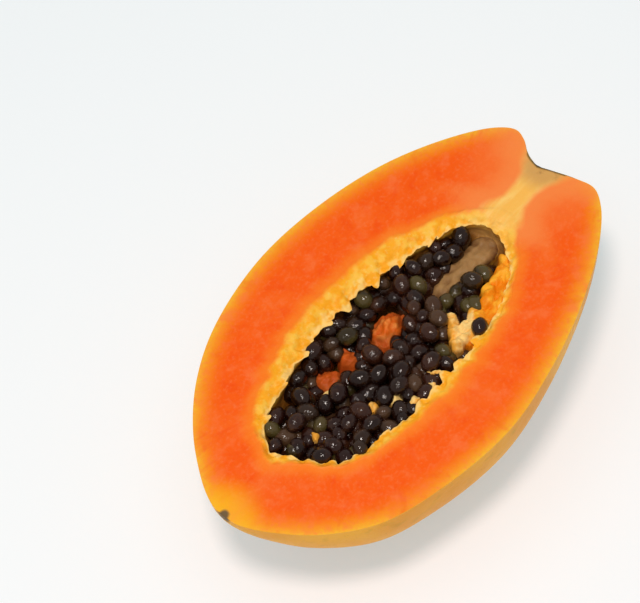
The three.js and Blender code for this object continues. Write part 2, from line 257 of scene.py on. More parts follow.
farCurve = splineThrough(fruit["farMeridian"], False, fruit["spanSteps"])
nearCurve = splineThrough(fruit["nearMeridian"], False, fruit["spanSteps"])
pulpRim = Around(cavity["pulpRim"])
tornEdge = Around(cavity["tornEdge"])
print("outlines drawn")


def lipDepthAt(angle):
    return cavity["lipDepth"] + cavity["lipSwing"] * np.sin(angle)


def wallDistance(angle, depth):  # how far from the middle the wall stands at a depth
    share = np.clip(depth / cavity["depth"], 0, 1)
    below = np.clip((depth - lipDepthAt(angle)) / cavity["tuckHeight"], 0, 1)
    around, farSide, stemEnd = cavity["tuckShares"]
    overhang = np.clip(around + farSide * np.sin(angle) + stemEnd * np.cos(angle), 0, 1)
    wall = tornEdge.distance(angle) * (1 - share ** cavity["roundness"]) ** (1 / cavity["roundness"])
    return wall + cavity["tuckReach"] * overhang * np.sin(math.pi * below)


def skinPoints(turn, sink):  # where a line from the cavity's middle leaves the fruit
    along = np.cos(sink) * np.cos(turn)
    side = np.cos(sink) * np.sin(turn)
    down = np.sin(sink)
    wanted = np.arccos(np.clip(along, -1, 1))
    around = np.arctan2(down, side)
    points = np.zeros((len(turn), 3))
    for first in range(0, len(turn), chunk):
        some = slice(first, first + chunk)
        share = ((1 + np.cos(around[some])) / 2)[:, None]
        x = share * farCurve[:, 0] + (1 - share) * nearCurve[:, 0]
        radius = share * farCurve[:, 1] + (1 - share) * nearCurve[:, 1]
        radius = radius * (1 + fruit["sectionFullness"] * np.sin(2 * around[some])[:, None] ** 2)
        belly = fruit["bellyShift"] * np.sin(around[some])[:, None] ** 2
        x = x + belly * np.sin(math.pi / 2 * x / fruit["middleAlong"])
        angle = np.minimum.accumulate(np.arctan2(radius, x - middle[0]), axis=1)
        index = np.clip((angle > wanted[some][:, None]).sum(1) - 1, 0, angle.shape[1] - 2)
        row = np.arange(len(index))
        high, low = angle[row, index], angle[row, index + 1]
        part = np.clip((high - wanted[some]) / np.maximum(high - low, 1e-9), 0, 1)
        x = x[row, index] * (1 - part) + x[row, index + 1] * part
        radius = radius[row, index] * (1 - part) + radius[row, index + 1] * part
        points[some] = np.stack([x, radius * np.cos(around[some]), -radius * np.sin(around[some])], 1)
    return points


def waves(points, size, start=0.0):  # smooth noise from -1 to 1 at each point
    return np.array([noise.noise(Vector(p) / size + Vector((start, start, start))) for p in points])


def layeredWaves(points, layers):
    return sum(height * waves(points, size, start) for size, start, height in layers)


def cells(points, size):  # rounded grains, 1 at the middle of each and 0 between them
    narrow = 1.25
    return np.array([1 - min(1, noise.voronoi(Vector(p) / size)[0][0] * narrow) ** 2 for p in points])


def toFrame(points):  # from the fruit's millimetres to the frame's metres
    return (points + np.array([-fruit["middleAlong"], 0, fruit["cutHeight"]])) * mm


farBelow = -99


def domeHeight(form, x, y):  # the top of an ellipsoid, or far below where there is none
    along, sideways, up, halfLength, halfWidth, halfHeight, turn = form
    lean = math.radians(turn)
    dx, dy = x - along, y - sideways
    length = (dx * math.cos(lean) + dy * math.sin(lean)) / halfLength
    width = (dy * math.cos(lean) - dx * math.sin(lean)) / halfWidth
    inside = 1 - length ** 2 - width ** 2
    return np.where(inside > 0, up + halfHeight * np.sqrt(np.maximum(inside, 0)), farBelow)


def pulpBeads():  # rounded grains in rows along the shelf
    draw = seededDraw(pulp["beadStart"])
    along, sideways, up, halfLength, halfWidth, halfHeight, turn = pulp["shelf"]
    lean = math.radians(turn)
    beads = []
    for row in range(pulp["beadRows"]):
        for column in range(pulp["beadsPerRow"]):
            step = column + 0.5 * row + pulp["beadScatter"] * next(draw)
            reach = halfLength * pulp["beadReach"] * (2 * step / pulp["beadsPerRow"] - 1)
            side = halfWidth * (pulp["beadRowStep"] * row + pulp["beadRowStart"])
            side += pulp["beadSideScatter"] * next(draw)
            x = along + reach * math.cos(lean) - side * math.sin(lean)
            y = sideways + reach * math.sin(lean) + side * math.cos(lean)
            size = pulp["beadRadius"] * (pulp["smallestBead"] + pulp["beadVariety"] * next(draw))
            drop = halfHeight * pulp["beadDrop"] * (reach / halfLength) ** 2
            sizes = [size * share for share in pulp["beadStretch"]]
            beads.append((x, y, up + halfHeight - pulp["beadSink"] - drop, *sizes, turn))
    return beads


def toothReach(places):  # how far each place of the torn edge is drawn in by the teeth near it
    reach = np.zeros(len(places))
    for along, side, length, width in cavity["teeth"]:
        sameSide = np.sign(places[:, 1]) == side
        base = places[sameSide][np.argmin(np.abs(places[sameSide][:, 0] - along))]
        apart = np.hypot(*(places - base).T) / (cavity["toothSpread"] * width)
        reach = np.maximum(reach, length * np.maximum(0, 1 - apart ** 2) ** cavity["toothPoint"])
    return reach


def raisePulp(points):  # lifts the cavity's floor over the forms of pulp in it, and tells which form
    size, alongStart, sideStart = pulp["warpWaves"]
    x = points[:, 0] + pulp["warp"] * waves(points, size, alongStart)
    y = points[:, 1] + pulp["warp"] * waves(points, size, sideStart)
    kinds = np.zeros((len(points), 4))
    groups = [[pulp["shelf"], *pulpBeads()], pulp["mounds"], [pulp["ridge"]], pulp["lumps"]]
    for kind, forms in enumerate(groups):
        top = np.max([domeHeight(form, x, y) for form in forms], axis=0)
        above = top > points[:, 2]
        kinds[above] = 0
        kinds[above, kind] = 1
        points[:, 2] = np.where(above, np.minimum(top, pulp["highest"]), points[:, 2])
    return kinds


def sphereGrid(mesh):  # the column and the row that each point of a sphere stands in
    flat = np.zeros(3 * len(mesh.vertices))
    mesh.vertices.foreach_get("co", flat)
    ball = flat.reshape(-1, 3)
    column = np.rint((np.arctan2(ball[:, 1], ball[:, 0]) / math.pi + 1) / 2 * fruit["segments"]).astype(int)
    row = np.rint((np.arcsin(np.clip(ball[:, 2], -1, 1)) / math.pi + 0.5) * fruit["rings"]).astype(int)
    return column % fruit["segments"], row


def shapeSkin(turn, row):  # the lower rows, on the fruit's skin
    points = skinPoints(turn, math.pi / 2 * (1 - row / fruit["skinRings"]))
    lift = np.clip(-points[:, 2] / fruit["skinWaveFade"], 0, 1)
    outward = points * (0, 1, 1)
    outward /= np.maximum(np.linalg.norm(outward, axis=1), 1e-6)[:, None]
    dents = waves(points, *fruit["skinWaves"]) - 1
    points += outward * (fruit["skinWave"] * dents * 0.5 * lift)[:, None]
    points[:, 2] = np.maximum(points[:, 2], -fruit["cutHeight"])
    return points


# For each column: its heading, how far from the middle the skin's edge, the pulp's rim and the torn edge
# lie, how far its tooth reaches in, and how deep its lip is.
def columnMeasures(angles):
    heading = np.stack([np.cos(angles), np.sin(angles)], 1)
    edge = skinPoints(angles, np.zeros(len(angles)))[:, :2] - middle
    onEdge = np.pad(middle + heading * tornEdge.distance(angles)[:, None], ((0, 0), (0, 1)))
    rim = pulpRim.distance(angles) + layeredWaves(onEdge, relief["rimWaves"])
    around, farSide = relief["lobeShares"]
    lobes = layeredWaves(onEdge, relief["lobes"]) * (around + farSide * np.sin(angles))
    inward = toothReach(onEdge[:, :2]) + cavity["rag"] * lobes
    torn = tornEdge.distance(angles) - inward
    return heading, np.hypot(edge[:, 0], edge[:, 1]), rim, torn, inward, lipDepthAt(angles)


def roughenInside(place, kinds, onSlope, onFace, nearLip):  # small relief of the pulp and the cut face
    lipNoise, lumpNoise, shelfNoise = relief["flattening"]
    soft = np.clip(onSlope * relief["slopeOnset"], 0, 1)
    place[:, 2] += soft * (layeredWaves(place, relief["slopeWaves"]) - relief["slopeSink"])
    size, start, height = relief["lipWaves"]
    place[:, 2] += nearLip * (height * np.abs(waves(place * lipNoise, size, start)) - relief["lipSink"])
    rough = kinds[:, 1] + kinds[:, 3] > 0
    size, height = relief["lumpGrains"]
    grains = height * (cells(place[rough] * lumpNoise, size) - 0.5)
    place[rough, 2] += grains + layeredWaves(place[rough], [relief["lumpWaves"]])
    grainy = kinds[:, 0] > 0
    size, height = relief["shelfGrains"]
    place[grainy, 2] += height * (cells(place[grainy] * shelfNoise, size) - 0.5)
    dips = fruit["faceWave"] * (0.5 + 0.5 * waves(place, *fruit["faceWaves"]))
    place[:, 2] -= np.where(onFace, dips, 0)
    level = place[:, 2]
    rounded = np.sqrt(level ** 2 + relief["topSoftness"] * soft ** 2)
    place[:, 2] = np.minimum((level - rounded) / 2, 0)


def shapeInside(angles, at, row):  # the upper rows: the cut face, the pulp's slope and the cavity
    heading, edge, rim, torn, inward, lip = (values[at] for values in columnMeasures(angles))
    faceRows, slopeRows = fruit["faceRings"], fruit["slopeRings"]
    wallRows = fruit["rings"] - fruit["skinRings"] - faceRows - slopeRows
    up = row - fruit["skinRings"]
    facePart = np.where(up == 1, fruit["edgeWidth"] / (edge - rim), np.clip(up / faceRows, 0, 1))
    slopePart = np.clip((up - faceRows) / slopeRows, 0, 1)
    wallPart = np.clip((up - faceRows - slopeRows) / wallRows, 0, 1)
    inCavity = wallPart > 0
    swing = math.pi / 2 * wallPart ** cavity["rowCrowding"]
    depth = lip + (cavity["depth"] - lip) * np.sin(swing) ** (2 / cavity["roundness"])
    wall = wallDistance(angles[at], depth) - inward * np.exp((lip - depth) / cavity["toothHeight"])
    wall = np.where(wallPart == 1, 0, np.maximum(wall, 0))
    distance = np.where(inCavity, wall, rim + (torn - rim) * slopePart)
    distance = np.where(slopePart > 0, distance, edge + (rim - edge) * facePart)
    place = np.zeros((len(at), 3))
    place[:, :2] = middle + heading * distance[:, None]
    place[:, 2] = np.where(inCavity, -depth, -lip * slopePart ** cavity["slopeBow"])
    kinds = np.zeros((len(at), 4))
    lifted = place[inCavity]
    kinds[inCavity] = raisePulp(lifted)
    place[inCavity] = lifted
    nearLip = np.where(inCavity, np.exp((lip - depth) / relief["lipFade"]), slopePart ** relief["lipCurve"])
    roughenInside(place, kinds, slopePart, (slopePart == 0) & (up > 1), nearLip)
    tornShare = slopePart * np.where(inCavity, np.exp((lip - depth) / 2), 1)
    return place, kinds, rim - distance, tornShare


# The ranges, mostly in millimetres, that the measures for the paint are kept in, as shares from 0 to 1.
keptRanges = {"rind": (0, 30), "within": (-15, 45), "end": (0, 40), "core": (-6, 1), "sunk": (0, 30)}


def toShare(name, values):
    low, high = keptRanges[name]
    return np.clip((values - low) / (high - low), 0, 1)


def keepColor(mesh, name, values):
    layer = mesh.color_attributes.new(name=name, type="FLOAT_COLOR", domain="POINT")
    layer.data.foreach_set("color", np.column_stack([*values, np.ones(len(mesh.vertices))]).ravel())


def rindDistances(place):  # from each point to the outline of the cut face
    angles = np.linspace(-math.pi, math.pi, fruit["outlineSteps"])
    outline = skinPoints(angles, np.zeros(len(angles)))[:, :2]
    return np.concatenate([np.sqrt(((place[i:i + chunk, None, :2] - outline[None]) ** 2).sum(2)).min(1)
                           for i in range(0, len(place), chunk)])


def coreNearness(points):  # 1 on the core's line to the stem, 0 at its sides, below 0 outside it
    along, widths = zip(*fruit["core"])
    nearness = 1 - np.abs(points[:, 1] - fruit["coreSideways"]) / np.interp(points[:, 0], along, widths)
    outsideCore = 3            # beyond this the measure has no use
    fadeEnd, fadeLength = fruit["coreFade"]
    fade = np.clip((fadeEnd - points[:, 0]) / fadeLength, 0, 1)
    return np.maximum(nearness, -outsideCore) - outsideCore * fade


def fibreCoordinates(points, column, edgeLength):  # a pattern on these has streaks that run outwards
    around = 2 * math.pi * column / fruit["segments"]
    radius = edgeLength / fruit["streakRound"]
    out = np.hypot(points[:, 0] - middle[0], points[:, 1])
    return np.stack([np.cos(around) * radius, np.sin(around) * radius, out * fruit["streakStretch"]], 1)


def makeHalf():  # a sphere whose lower rows become the skin and whose upper rows are pressed in
    deselectAll()
    bpy.ops.mesh.primitive_uv_sphere_add(segments=fruit["segments"], ring_count=fruit["rings"], radius=1)
    half = bpy.context.object
    half.name = "papaya_half_body"
    mesh = half.data
    column, row = sphereGrid(mesh)
    columnAngles, edgeLength = tornEdge.evenAngles(fruit["segments"])
    skin = row <= fruit["skinRings"]
    inner = ~skin
    count = len(row)
    points, kinds, rind = np.zeros((count, 3)), np.zeros((count, 4)), np.zeros(count)
    within, tornShare = np.full(count, -15.0), np.zeros(count)
    points[skin] = shapeSkin(columnAngles[column[skin]], row[skin])
    shaped = shapeInside(columnAngles, column[inner], row[inner])
    points[inner], kinds[inner], within[inner], tornShare[inner] = shaped
    mesh.vertices.foreach_set("co", toFrame(points).ravel())

    rind[inner] = rindDistances(points[inner])
    toBlossom = np.linalg.norm(points - np.array(fruit["blossomTip"]), axis=1)
    toScar = np.linalg.norm(points - np.array(fruit["scarMiddle"]), axis=1)
    keepColor(mesh, "zones", [toShare("rind", rind), toShare("within", within), skin])
    keepColor(mesh, "kinds", [kinds[:, 0], kinds[:, 1], kinds[:, 2]])
    keepColor(mesh, "ends", [toShare("end", toBlossom), toShare("end", toScar),
                             toShare("core", coreNearness(points))])
    keepColor(mesh, "lumps", [kinds[:, 3], toShare("sunk", -points[:, 2]), tornShare])
    layer = mesh.attributes.new(name="fibre", type="FLOAT_VECTOR", domain="POINT")
    layer.data.foreach_set("vector", fibreCoordinates(points, column, edgeLength).ravel())
    mesh.update()
    deselectAll()
    half.select_set(True)
    bpy.context.view_layer.objects.active = half
    bpy.ops.object.mode_set(mode="EDIT")
    bpy.ops.mesh.select_all(action="SELECT")
    bpy.ops.mesh.normals_make_consistent(inside=False)
    bpy.ops.object.mode_set(mode="OBJECT")
    bpy.ops.object.shade_smooth_by_angle(angle=math.radians(60))
    return half


def heapHeight(sideways):
    return seeds["heapLevel"] + seeds["heapSlope"] * sideways


def coveredBy(form, x, y, margin):
    along, sideways, up, halfLength, halfWidth, halfHeight, turn = form
    lean = math.radians(turn)
    dx, dy = x - along, y - sideways
    length = (dx * math.cos(lean) + dy * math.sin(lean)) / (halfLength + margin)
    width = (dy * math.cos(lean) - dx * math.sin(lean)) / (halfWidth + margin)
    return length ** 2 + width ** 2 < 1


def roomAt(x, y, z):  # from the cavity's middle to its wall, towards a place
    return float(wallDistance(math.atan2(y - middle[1], x - middle[0]), -z))


def keepInside(seed):
    dx, dy = seed["x"] - middle[0], seed["y"] - middle[1]
    distance = math.hypot(dx, dy)
    room = roomAt(seed["x"], seed["y"], seed["z"]) - seeds["width"] / 2 + seeds["wallSink"]
    if distance > room:
        seed["x"] -= dx * (1 - room / distance)
        seed["y"] -= dy * (1 - room / distance)


def pushApart(one, other):
    step = [other[axis] - one[axis] for axis in "xyz"]
    distance = math.hypot(*step)
    wanted = seeds["closeness"] * (seeds["length"] + seeds["width"]) / 2 * (one["size"] + other["size"]) / 2
    if distance >= wanted or distance == 0:
        return
    move = seeds["pushShare"] * (wanted - distance) / distance
    for axis, part in zip("xyz", step):
        one[axis] -= part * move
        other[axis] += part * move


def settledSeeds(start, drop):  # staggered rows, each seed a little off its place, that push apart
    draw = seededDraw(start)
    rowStep = seeds["spacing"] * math.sqrt(3) / 2
    found = []
    for row in range(-seeds["rowsPerSide"], seeds["rowsPerSide"] + 1):
        for column in range(seeds["columns"]):
            shift = abs(row) % 2 / 2 + seeds["scatter"] * (next(draw) - 0.5)
            x = seeds["firstAlong"] + seeds["spacing"] * (column + shift)
            y = rowStep * (row + seeds["scatter"] * (next(draw) - 0.5))
            lift = seeds["lift"] * (next(draw) - 0.5) - drop
            seed = {"x": x, "y": y, "lift": lift, "size": seeds["smallest"] + seeds["variety"] * next(draw),
                    "turn": 360 * next(draw), "tip": next(draw), "z": heapHeight(y) + lift}
            inside = math.hypot(x - middle[0], y - middle[1]) < roomAt(x, y, seed["z"]) + seeds["wallSink"]
            bareForms = [pulp["ridge"], *pulp["mounds"], *pulp["lumps"]]
            bare = coveredBy(pulp["shelf"], x, y, 0)
            bare = bare or any(coveredBy(form, x, y, seeds["bareMargin"]) for form in bareForms)
            if inside and not bare:
                found.append(seed)
    for _ in range(seeds["settleRounds"]):
        for index, seed in enumerate(found):
            for other in found[index + 1:]:
                if abs(other["x"] - seed["x"]) < seeds["length"] + 1:
                    pushApart(seed, other)
        for seed in found:
            seed["z"] += seeds["sinkShare"] * (heapHeight(seed["y"]) + seed["lift"] - seed["z"])
            seed["z"] = min(seed["z"], seeds["highest"])
            keepInside(seed)
    return found


def makeSeedShape():  # one seed: a ball drawn out to a blunt tip, with a few soft dents
    deselectAll()
    bpy.ops.mesh.primitive_uv_sphere_add(segments=seeds["segments"], ring_count=seeds["rings"], radius=0.5)
    seed = bpy.context.object
    seed.name = "seed_shape"
    bpy.ops.object.mode_set(mode="EDIT")
    bpy.ops.mesh.select_all(action="SELECT")
    bpy.ops.transform.rotate(value=math.pi / 2, orient_axis="Y", center_override=(0, 0, 0))
    size = (seeds["length"], seeds["width"], seeds["width"])
    bpy.ops.transform.resize(value=size, center_override=(0, 0, 0))
    bpy.ops.object.mode_set(mode="OBJECT")
    for vertex in seed.data.vertices:
        point = vertex.co
        taper = 1 - seeds["taper"] * max(0, point.x / seeds["length"] * 2) ** 2
        dent = 1 + seeds["dent"] * noise.noise(point / seeds["dentSize"])
        point.y *= taper * dent
        point.z *= taper * dent
    bpy.ops.object.shade_smooth()
    return seed


def placeSeeds(shape, places, name, toneStart):
    draw = seededDraw(toneStart)
    copies = []
    for place in places:
        copy = shape.copy()
        copy.data = shape.data.copy()
        scene.collection.objects.link(copy)
        tipped = Matrix.Rotation(seeds["tip"] * (place["tip"] - 0.5), 4, "Y")
        turned = Matrix.Rotation(math.radians(place["turn"]), 4, "Z") @ tipped
        moved = Matrix.Translation(toFrame(np.array([place["x"], place["y"], place["z"]])))
        copy.data.transform(moved @ turned @ Matrix.Scale(place["size"] * mm, 4))
        tone = copy.data.attributes.new(name="tone", type="FLOAT", domain="POINT")
        tone.data.foreach_set("value", [next(draw)] * len(copy.data.vertices))
        copies.append(copy)
    deselectAll()
    for copy in copies:
        copy.select_set(True)
    bpy.context.view_layer.objects.active = copies[0]
    if len(copies) > 1:
        bpy.ops.object.join()
    copies[0].name = name
    return copies[0]


class Wire:  # a shader socket that adds and multiplies like a number
    def __init__(self, paint, socket):
        self.paint = paint
        self.socket = socket

    def reckon(self, operation, *values):
        made = self.paint.node("ShaderNodeMath", {"operation": operation}, dict(enumerate(values)))
        return Wire(self.paint, made.outputs[0])

    def __add__(self, other):
        return self.reckon("ADD", self, other)

    def __radd__(self, other):
        return self.reckon("ADD", other, self)

    def __sub__(self, other):
        return self.reckon("SUBTRACT", self, other)

    def __rsub__(self, other):
        return self.reckon("SUBTRACT", other, self)

    def __mul__(self, other):
        return self.reckon("MULTIPLY", self, other)

    def __rmul__(self, other):
        return self.reckon("MULTIPLY", other, self)


class Paint:  # one material and the few ways its nodes are added
    def __init__(self, name):
        self.material = bpy.data.materials.new(name)
        self.material.use_nodes = True
        self.tree = self.material.node_tree
        self.tree.nodes.clear()

    def node(self, kind, settings=None, inputs=None):
        made = self.tree.nodes.new(kind)
        for key, value in (settings or {}).items():
            if key == "stops":
                while len(made.color_ramp.elements) < len(value):
                    made.color_ramp.elements.new(0.5)
                for element, (position, color) in zip(made.color_ramp.elements, value):
                    element.position = position
                    element.color = (*color, 1)
            else:
                setattr(made, key, value)
        for key, value in (inputs or {}).items():
            if isinstance(value, Wire):
                self.tree.links.new(value.socket, made.inputs[key])
            else:
                made.inputs[key].default_value = value
        return made

    def wire(self, made, output=0):
        return Wire(self, made.outputs[output])

    def place(self):
        return self.wire(self.node("ShaderNodeTexCoord"), "Object")

    def attribute(self, name, output):
        return self.wire(self.node("ShaderNodeAttribute", {"attribute_name": name}), output)

    def channels(self, name):  # the three values that an attribute keeps at each point
        split = self.node("ShaderNodeSeparateColor", {}, {0: self.attribute(name, "Color")})
        return self.wire(split, 0), self.wire(split, 1), self.wire(split, 2)

    def mix(self, factor, one, other):
        one = (*one, 1) if isinstance(one, tuple) else one
        other = (*other, 1) if isinstance(other, tuple) else other
        made = self.node("ShaderNodeMix", {"data_type": "RGBA"}, {0: factor, 6: one, 7: other})
        return self.wire(made, 2)

    def ramp(self, wire, stops):
        return self.wire(self.node("ShaderNodeValToRGB", {"stops": stops}, {"Fac": wire}))

    def speckle(self, place, scale, detail=3, rough=0.55):
        made = self.node("ShaderNodeTexNoise", {}, {"Vector": place, "Scale": scale, "Detail": detail,
                                                   "Roughness": rough})
        return self.wire(made, "Fac")

    def rise(self, wire, low, high):  # 0 below low, 1 above high, smooth between
        made = self.node("ShaderNodeMapRange", {"interpolation_type": "SMOOTHSTEP"},
                         {"Value": wire, "From Min": low, "From Max": high})
        return self.wire(made, "Result")

    def fall(self, wire, low, high):  # 1 below low, 0 above high, smooth between
        return 1 - self.rise(wire, low, high)

    def bump(self, height, strength, distance):
        return self.wire(self.node("ShaderNodeBump", {}, {"Strength": strength, "Distance": distance,
                                                          "Height": height}))

    def finish(self, constants, varying):
        shader = self.node("ShaderNodeBsdfPrincipled", {}, {**constants, **varying})
        output = self.node("ShaderNodeOutputMaterial")
        self.tree.links.new(shader.outputs[0], output.inputs[0])
        return self.material


def tint(red, green, blue):  # a colour given as it looks on screen, from 0 to 255
    def straight(value):
        value /= 255
        return value / 12.92 if value <= 0.04045 else ((value + 0.055) / 1.055) ** 2.4
    return straight(red), straight(green), straight(blue)


fruitColors = {
    "orangeFlesh": tint(250, 108, 30), "salmonFlesh": tint(252, 124, 66), "redFlesh": tint(240, 66, 4),
    "paleSpecks": tint(252, 122, 64), "innerFlesh": tint(252, 132, 34), "blossomFlesh": tint(252, 184, 30),
    "stemLobes": tint(251, 122, 52), "coreSides": tint(251, 136, 66),
    "amberPulp": tint(252, 166, 26), "yellowPulp": tint(252, 190, 66), "goldPulp": tint(252, 170, 20),
    # the torn pulp's pale cream is partly its own colour and partly painted sheen along the torn edge
    "orangePulp": tint(246, 150, 24), "tornPulpAndSheen": tint(255, 210, 128), "palePulp": tint(255, 222, 140),
    "stemPulp": tint(254, 204, 98),
    "coreAmber": tint(251, 186, 84), "corePale": tint(254, 204, 112), "coreTan": tint(214, 160, 88),
    "coreBrown": tint(168, 122, 66),
    "shelfDark": tint(240, 130, 8), "shelfLight": tint(252, 174, 44),
    # painted shade: the darker red-orange of a mound's deeper parts
    "moundDark": tint(242, 106, 20), "moundLight": tint(252, 154, 70), "shadedMound": tint(204, 84, 26),
    # painted shade: the membrane's brown where it lies low and its darker brown towards the tip
    "membraneTan": tint(212, 164, 102), "shadedMembrane": tint(98, 58, 28), "shadedMembraneTip": tint(112, 72, 38),
    # painted shade for the cavity's depths: the dark red-brown wall and the darker tan near the tip
    "lumpAmber": tint(246, 168, 60), "shadedWall": tint(92, 38, 12), "shadedTan": tint(158, 112, 62),
    "scarEdge": tint(92, 72, 30), "blossomSpot": tint(116, 92, 62),
    "skinYellow": tint(250, 178, 50), "skinGold": tint(240, 160, 44), "skinMottle": tint(208, 150, 24),
    "skinSpecks": tint(178, 118, 20), "scarRing": tint(122, 104, 44), "scar": tint(66, 50, 26),
    "blossomRing": tint(112, 88, 56),
}

# Ripe flesh from the skin inward: where each colour stands, in shares of the rind's depth in millimetres.
rindDepth = 12
rindStops = [(0.0, tint(246, 184, 50)), (0.1, tint(248, 168, 42)), (0.22, tint(249, 148, 32)),
             (0.38, tint(249, 128, 24)), (0.55, tint(249, 107, 16)), (0.8, tint(249, 92, 12))]


def inMillimetres(name, share):
    low, high = keptRanges[name]
    return share * (high - low) + low


class FruitSpot:  # what the paint knows of a spot: how far it is from the fruit's parts, and a few noises
    def __init__(self, paint):
        rind, within, skin = paint.channels("zones")
        toBlossom, toScar, core = paint.channels("ends")
        self.shelf, self.mound, self.ridge = paint.channels("kinds")
        self.lump, sunk, self.slope = paint.channels("lumps")
        self.rind = inMillimetres("rind", rind)
        self.within = inMillimetres("within", within)
        self.sunk = inMillimetres("sunk", sunk)
        self.toBlossom = inMillimetres("end", toBlossom)
        self.toScar = inMillimetres("end", toScar)
        self.core = inMillimetres("core", core)
        self.skin = paint.rise(skin, 0.35, 0.65)
        place = paint.place()
        self.broad = paint.speckle(place, 32)
        self.mid = paint.speckle(place, 140, 4)
        self.patch = paint.speckle(place, 230, 2)
        self.fine = paint.speckle(place, 700, 3)
        self.streak = paint.speckle(paint.attribute("fibre", "Vector"), 0.34, 4, 0.55)
        self.wobble = (self.mid - 0.5) * 3 + (self.streak - 0.5) * 2
        self.cell = paint.rise(self.mid, 0.4, 0.6)


def ripeFlesh(paint, spot):  # yellow at the rind, then orange, mottled with salmon and red
    color = paint.ramp((spot.rind + spot.wobble) * (1 / rindDepth), rindStops)
    color = paint.mix(paint.rise(spot.broad, 0.48, 0.7) * 0.6, color, fruitColors["orangeFlesh"])
    color = paint.mix(paint.rise(spot.mid, 0.5, 0.72) * 0.5, color, fruitColors["salmonFlesh"])
    color = paint.mix(paint.fall(spot.mid, 0.28, 0.48) * 0.35, color, fruitColors["redFlesh"])
    color = paint.mix(paint.rise(spot.fine, 0.45, 0.8) * 0.5, color, fruitColors["paleSpecks"])
    color = paint.mix(paint.fall(spot.streak, 0.25, 0.48) * 0.3, color, fruitColors["redFlesh"])
    nearPulp = paint.rise(spot.within + spot.wobble * 1.2, -7, 0)
    color = paint.mix(nearPulp * 0.8, color, fruitColors["innerFlesh"])
    color = paint.mix(paint.fall(spot.toBlossom, 4, 17) * 0.7, color, fruitColors["blossomFlesh"])
    stemLobes = paint.fall(spot.toScar + spot.wobble, 20, 36) * paint.rise(spot.rind, 4, 10)
    color = paint.mix(stemLobes * 0.6, color, fruitColors["stemLobes"])
    coreSides = paint.rise(spot.core + spot.wobble * 0.2, -2.8, -0.4)
    return paint.mix(coreSides * 0.9, color, fruitColors["coreSides"])


def softPulp(paint, spot):  # yellow, paler towards the stem, and pale cream along the torn edge, partly the pulp's own colour and partly a painted highlight
    patches = paint.rise(spot.patch, 0.42, 0.6)
    color = paint.mix(patches, fruitColors["amberPulp"], fruitColors["yellowPulp"])
    color = paint.mix(paint.rise(spot.broad, 0.5, 0.65) * 0.5, color, fruitColors["goldPulp"])
    color = paint.mix(paint.rise(spot.mid, 0.58, 0.72) * 0.7, color, fruitColors["orangePulp"])
    # Partly painted highlight: the last millimetres before the torn edge turn pale cream, the torn pulp's
    # own colour with wet sheen painted over it.
    torn = paint.rise(spot.slope + (spot.patch - 0.5) * 1.6, 0.7, 1.0)
    color = paint.mix(torn * 0.7, color, fruitColors["tornPulpAndSheen"])
    color = paint.mix(paint.rise(spot.fine, 0.55, 0.75) * 0.25, color, fruitColors["palePulp"])
    return paint.mix(paint.fall(spot.toScar + spot.wobble, 28, 42) * 0.7, color, fruitColors["stemPulp"])


def stemCore(paint, spot):
    color = paint.mix(paint.rise(spot.streak, 0.4, 0.7), fruitColors["coreAmber"], fruitColors["corePale"])
    color = paint.mix(paint.fall(spot.toScar + spot.wobble, 5, 14), color, fruitColors["coreTan"])
    spots = paint.fall(spot.toScar, 3, 12) * paint.rise(spot.mid, 0.5, 0.66)
    return paint.mix(spots, color, fruitColors["coreBrown"])


def bareMound(paint, spot):
    color = paint.mix(spot.cell, fruitColors["moundDark"], fruitColors["moundLight"])
    # Painted shade: a mound turns darker red-orange where it lies deeper than 6 to 8.5 mm.
    deep = paint.rise(spot.sunk + spot.wobble * 0.3, 6, 8.5)
    return paint.mix(deep * 0.85, color, fruitColors["shadedMound"])


def membrane(paint, spot):
    # Painted shade: the tan membrane turns brown where it lies deeper than 7.4 to 10 mm, and darker brown
    # towards the stem end's tip.
    deep = paint.rise(spot.sunk + spot.wobble, 7.4, 10)
    color = paint.mix(deep, fruitColors["membraneTan"], fruitColors["shadedMembrane"])
    nearTip = paint.fall(spot.toScar + spot.wobble, 36, 46)
    return paint.mix(nearTip * 0.65, color, fruitColors["shadedMembraneTip"])


def skinFinish(paint, spot):
    color = paint.mix(paint.rise(spot.broad, 0.35, 0.7), fruitColors["skinYellow"], fruitColors["skinGold"])
    color = paint.mix(paint.rise(spot.mid, 0.55, 0.75) * 0.45, color, fruitColors["skinMottle"])
    color = paint.mix(paint.rise(spot.fine, 0.66, 0.74) * 0.35, color, fruitColors["skinSpecks"])
    color = paint.mix(paint.fall(spot.toScar + spot.wobble, 9, 15), color, fruitColors["scarRing"])
    color = paint.mix(paint.fall(spot.toScar + spot.wobble, 4, 6.5), color, fruitColors["scar"])
    blossomEnd = paint.fall(spot.toBlossom + spot.wobble * 0.4, 2, 4)
    return paint.mix(blossomEnd, color, fruitColors["blossomRing"])


